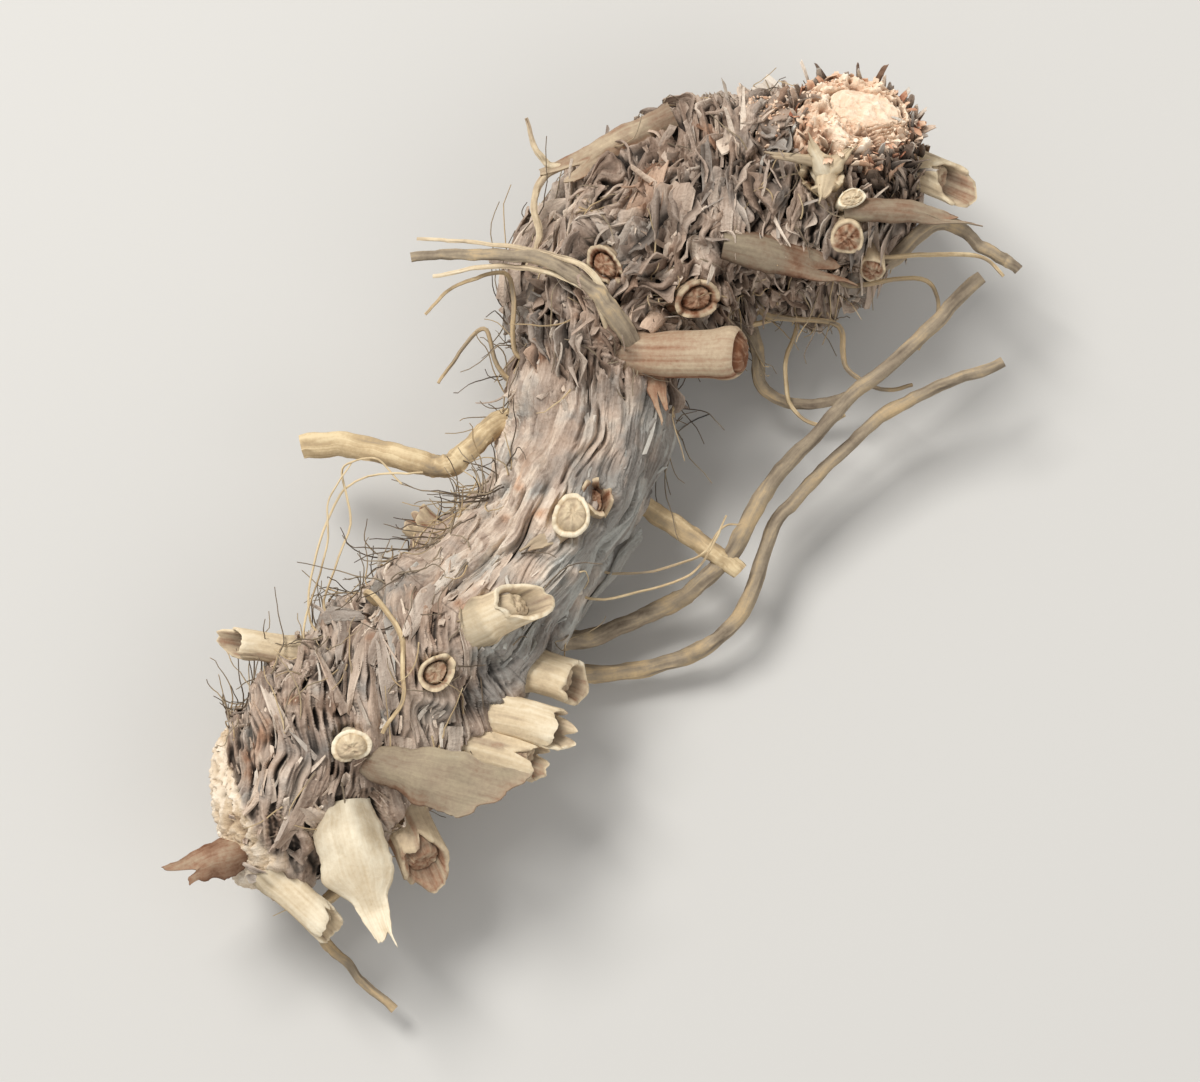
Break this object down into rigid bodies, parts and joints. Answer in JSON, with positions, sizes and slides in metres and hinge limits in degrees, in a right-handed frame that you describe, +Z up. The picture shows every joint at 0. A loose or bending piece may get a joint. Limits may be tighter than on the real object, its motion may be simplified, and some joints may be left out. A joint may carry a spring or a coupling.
{
  "type": "dried rhizome",
  "caption": "Dried gnarled rhizome, shaggy with torn leaf-base scales at both ends, with broken leaf stalks, a pale broken stem face and wiry roots.",
  "frame": {"origin": "middle of the footprint, on the surface that the rhizome lies on", "axes": "+Z up from that surface; +X to the right and +Y up the picture, as the piece is seen from above, so +Y runs from the crumbled old end towards the crown"},
  "size_m": [0.0348, 0.0386, 0.0108],
  "materials": {
    "bark": "dry, dull grey-brown bark, torn into papery scales",
    "stalk": "dry straw-coloured leaf stalk, broken and fibrous",
    "root": "dry, dull wiry root",
    "flesh": "pale crumbly torn wood"
  },
  "bodies": {
    "root": {"rhizome": "bark"}
  },
  "joints": []
}
